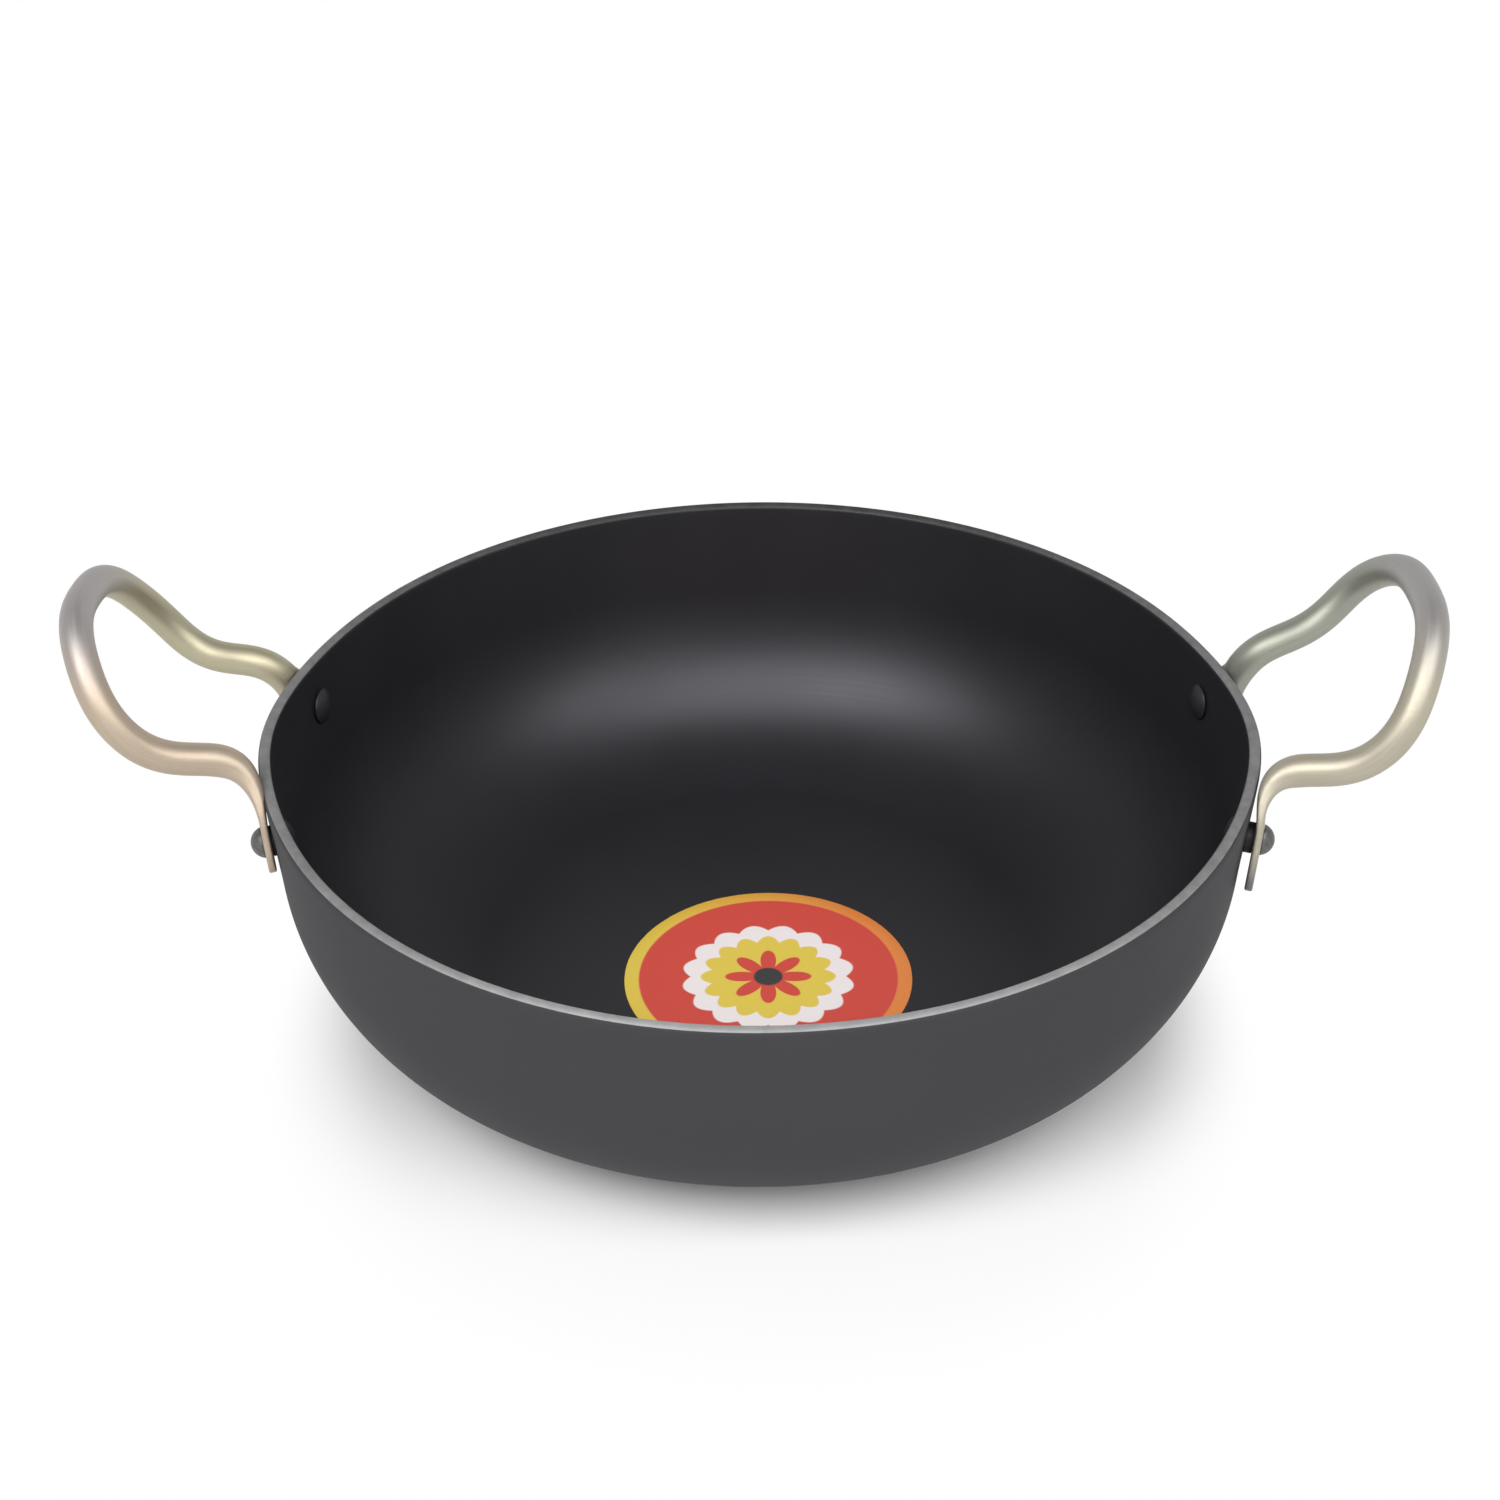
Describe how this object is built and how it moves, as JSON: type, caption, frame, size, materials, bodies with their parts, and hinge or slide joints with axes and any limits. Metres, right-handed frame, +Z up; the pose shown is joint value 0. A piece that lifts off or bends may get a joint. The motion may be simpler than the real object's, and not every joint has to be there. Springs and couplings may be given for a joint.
{
  "type": "kadai",
  "caption": "Round-sided open cooking pan with a flat base and riveted loop handles of bent rod.",
  "frame": {"origin": "centre of the flat base's underside", "axes": "+Z up through the bowl, +X towards the right handle, +Y towards the back"},
  "size_m": [0.3395, 0.2498, 0.1176],
  "materials": {
    "dark_anodised": "matte hard-anodised, with a bright turned rim",
    "plated_rod": "satin, yellow passivated zinc plate",
    "rivet_metal": "dull, dark anodised",
    "black_spacer": "matte black",
    "printed_paper": "coated sticker with a plain printed pattern"
  },
  "bodies": {
    "root": {"bowl": "dark_anodised", "handle_left": "plated_rod", "handle_right": "plated_rod", "label": "printed_paper", "rivet_left_back": "rivet_metal", "rivet_left_front": "rivet_metal", "rivet_right_back": "rivet_metal", "rivet_right_front": "rivet_metal", "spacer_left_back": "black_spacer", "spacer_left_front": "black_spacer", "spacer_right_back": "black_spacer", "spacer_right_front": "black_spacer"}
  },
  "joints": []
}
